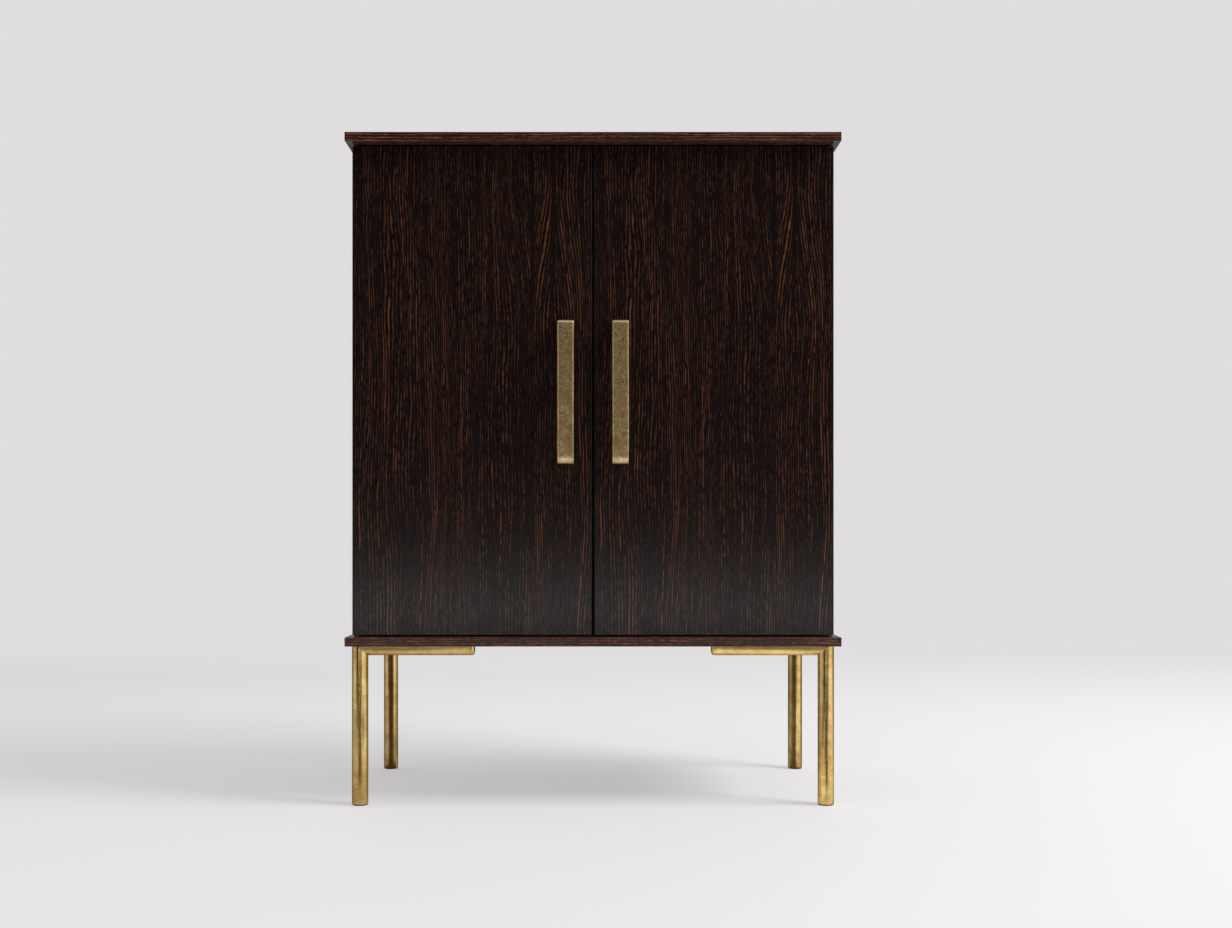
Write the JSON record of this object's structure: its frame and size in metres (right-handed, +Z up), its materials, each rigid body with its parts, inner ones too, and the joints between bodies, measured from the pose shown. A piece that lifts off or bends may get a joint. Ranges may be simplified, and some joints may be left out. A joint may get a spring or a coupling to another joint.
{
  "type": "two-door sideboard",
  "caption": "Tall dark-veneered sideboard with a pair of hinged doors between overhanging boards, bridge pulls and a base of brass tube legs with arms.",
  "frame": {"origin": "middle of the footprint, on the floor", "axes": "+Z up, the doors face -Y, +X to the viewer's right"},
  "size_m": [0.92, 0.455, 1.25],
  "materials": {
    "dark_wood": "near-black veneer with fine red-brown streaks, satin lacquer",
    "wood_edging": "brown-black solid edging with grain along it, satin lacquer",
    "inner_wood": "dark veneer inside, matt lacquer",
    "aged_brass": "aged brass, brushed, with small dark specks",
    "hammered_brass": "dull antique brass, finely hammered and mottled",
    "zinc_steel": "zinc plated",
    "hinge_brass": "satin brass",
    "black_plastic": "black, matt",
    "dowel_wood": "plain beech",
    "magnet": "grey ferrite"
  },
  "bodies": {
    "cabinet": {"top_board": "dark_wood", "top_front_lipping": "wood_edging", "top_left_lipping": "wood_edging", "top_right_lipping": "wood_edging", "bottom_board": "dark_wood", "bottom_front_lipping": "wood_edging", "bottom_left_lipping": "wood_edging", "bottom_right_lipping": "wood_edging", "left_side": "dark_wood", "right_side": "dark_wood", "back_panel": "inner_wood", "back_panel_screws": "zinc_steel", "lower_shelf": "inner_wood", "upper_shelf": "inner_wood", "shelf_pins": "zinc_steel", "carcass_dowels": "dowel_wood", "front_left_leg": "aged_brass", "front_left_glide": "black_plastic", "front_left_arm": "aged_brass", "front_right_leg": "aged_brass", "front_right_glide": "black_plastic", "front_right_arm": "aged_brass", "rear_left_leg": "aged_brass", "rear_left_glide": "black_plastic", "rear_left_arm": "aged_brass", "rear_right_leg": "aged_brass", "rear_right_glide": "black_plastic", "rear_right_arm": "aged_brass", "arm_end_caps": "aged_brass", "leg_top_plugs": "zinc_steel", "leg_hanger_bolts": "zinc_steel", "arm_screws": "zinc_steel", "left_top_case_leaf": "hinge_brass", "left_bottom_case_leaf": "hinge_brass", "left_catch_housing": "black_plastic", "right_top_case_leaf": "hinge_brass", "right_bottom_case_leaf": "hinge_brass", "right_catch_housing": "black_plastic", "pivot_pins": "zinc_steel", "catch_magnets": "magnet", "case_hardware_screws": "zinc_steel"},
    "left_door": {"left_door_panel": "dark_wood", "left_pull": "hammered_brass", "left_pull_screws": "zinc_steel", "left_top_door_leaf": "hinge_brass", "left_bottom_door_leaf": "hinge_brass", "left_hinge_washers": "hinge_brass", "left_strike_plate": "zinc_steel", "left_door_hardware_screws": "zinc_steel"},
    "right_door": {"right_door_panel": "dark_wood", "right_pull": "hammered_brass", "right_pull_screws": "zinc_steel", "right_top_door_leaf": "hinge_brass", "right_bottom_door_leaf": "hinge_brass", "right_hinge_washers": "hinge_brass", "right_strike_plate": "zinc_steel", "right_door_hardware_screws": "zinc_steel"}
  },
  "joints": [
    {"name": "left_door_hinge", "type": "hinge", "parent": "cabinet", "child": "left_door", "pos_m": [-0.443, -0.1875, 0.317], "axis": [0, 0, -1], "range_deg": [0, 110]},
    {"name": "right_door_hinge", "type": "hinge", "parent": "cabinet", "child": "right_door", "pos_m": [0.443, -0.1875, 0.317], "axis": [0, 0, 1], "range_deg": [0, 110]}
  ]
}
